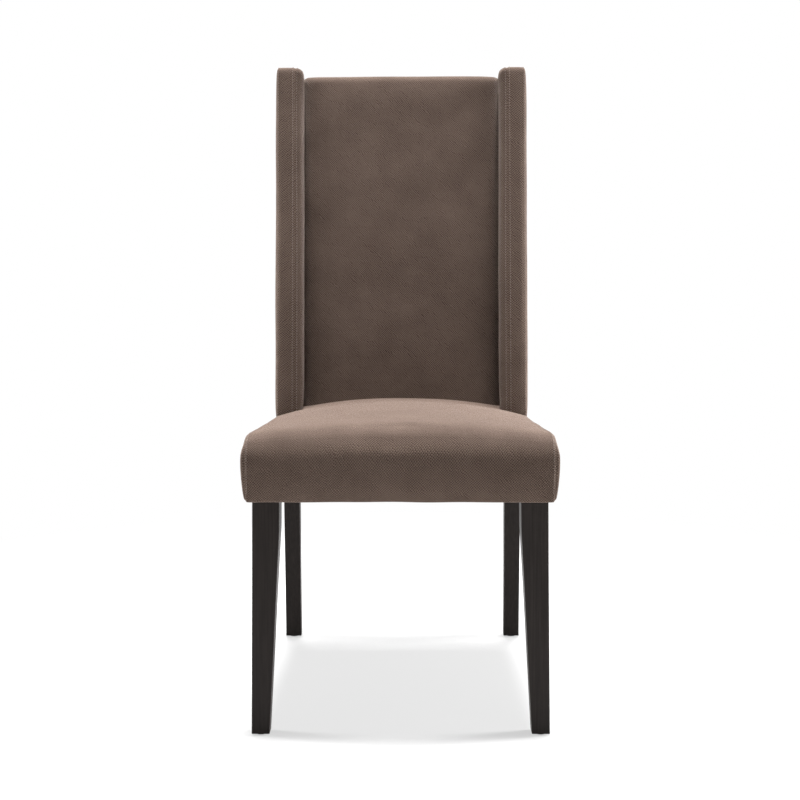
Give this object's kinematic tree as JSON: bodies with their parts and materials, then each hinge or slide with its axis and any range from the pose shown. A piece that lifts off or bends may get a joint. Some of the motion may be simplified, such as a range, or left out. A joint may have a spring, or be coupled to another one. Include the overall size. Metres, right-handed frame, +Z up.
{
  "type": "upholstered dining chair",
  "caption": "High-backed dining chair with side wings, a crowned upholstered seat and dark tapered wooden legs.",
  "frame": {"origin": "on the floor under the middle of the chair", "axes": "+Z up, +Y from the front of the seat to the rear, +X across the seat"},
  "size_m": [0.5058, 0.6349, 1.0975],
  "materials": {
    "upholstery_fabric": "matte",
    "dark_wood": "satin",
    "frame_wood": "matte",
    "plywood": "matte",
    "back_board": "matte",
    "padding_foam": "matte",
    "webbing": "matte",
    "dust_cloth": "matte",
    "fasteners": "satin",
    "glide_nylon": "matte"
  },
  "bodies": {
    "root": {"front_leg_left": "dark_wood", "front_leg_right": "dark_wood", "rear_leg_left": "dark_wood", "rear_leg_right": "dark_wood", "side_rail_left": "frame_wood", "side_rail_right": "frame_wood", "front_rail": "frame_wood", "rear_rail": "frame_wood", "front_corner_block_left": "frame_wood", "front_corner_block_right": "frame_wood", "rear_corner_block_left": "frame_wood", "rear_corner_block_right": "frame_wood", "leg_bolts": "fasteners", "block_screws": "fasteners", "back_rail_lower": "frame_wood", "back_rail_upper": "frame_wood", "wing_board_left": "plywood", "wing_board_right": "plywood", "wing_foam_left": "padding_foam", "wing_foam_right": "padding_foam", "seat_webbing": "webbing", "back_webbing": "webbing", "seat_foam": "padding_foam", "front_foam_strip": "padding_foam", "side_foam_strip_left": "padding_foam", "side_foam_strip_right": "padding_foam", "seat_cover": "upholstery_fabric", "seat_side_panel_left": "upholstery_fabric", "seat_side_panel_right": "upholstery_fabric", "dust_cloth": "dust_cloth", "back_pad_foam": "padding_foam", "inside_back_cover": "upholstery_fabric", "wing_inner_cover_left": "upholstery_fabric", "wing_inner_cover_right": "upholstery_fabric", "wing_front_band_left": "upholstery_fabric", "wing_front_band_right": "upholstery_fabric", "wing_outer_cover_left": "upholstery_fabric", "wing_outer_cover_right": "upholstery_fabric", "back_board": "back_board", "outside_back_cover": "upholstery_fabric", "foot_glides": "glide_nylon"}
  },
  "joints": []
}
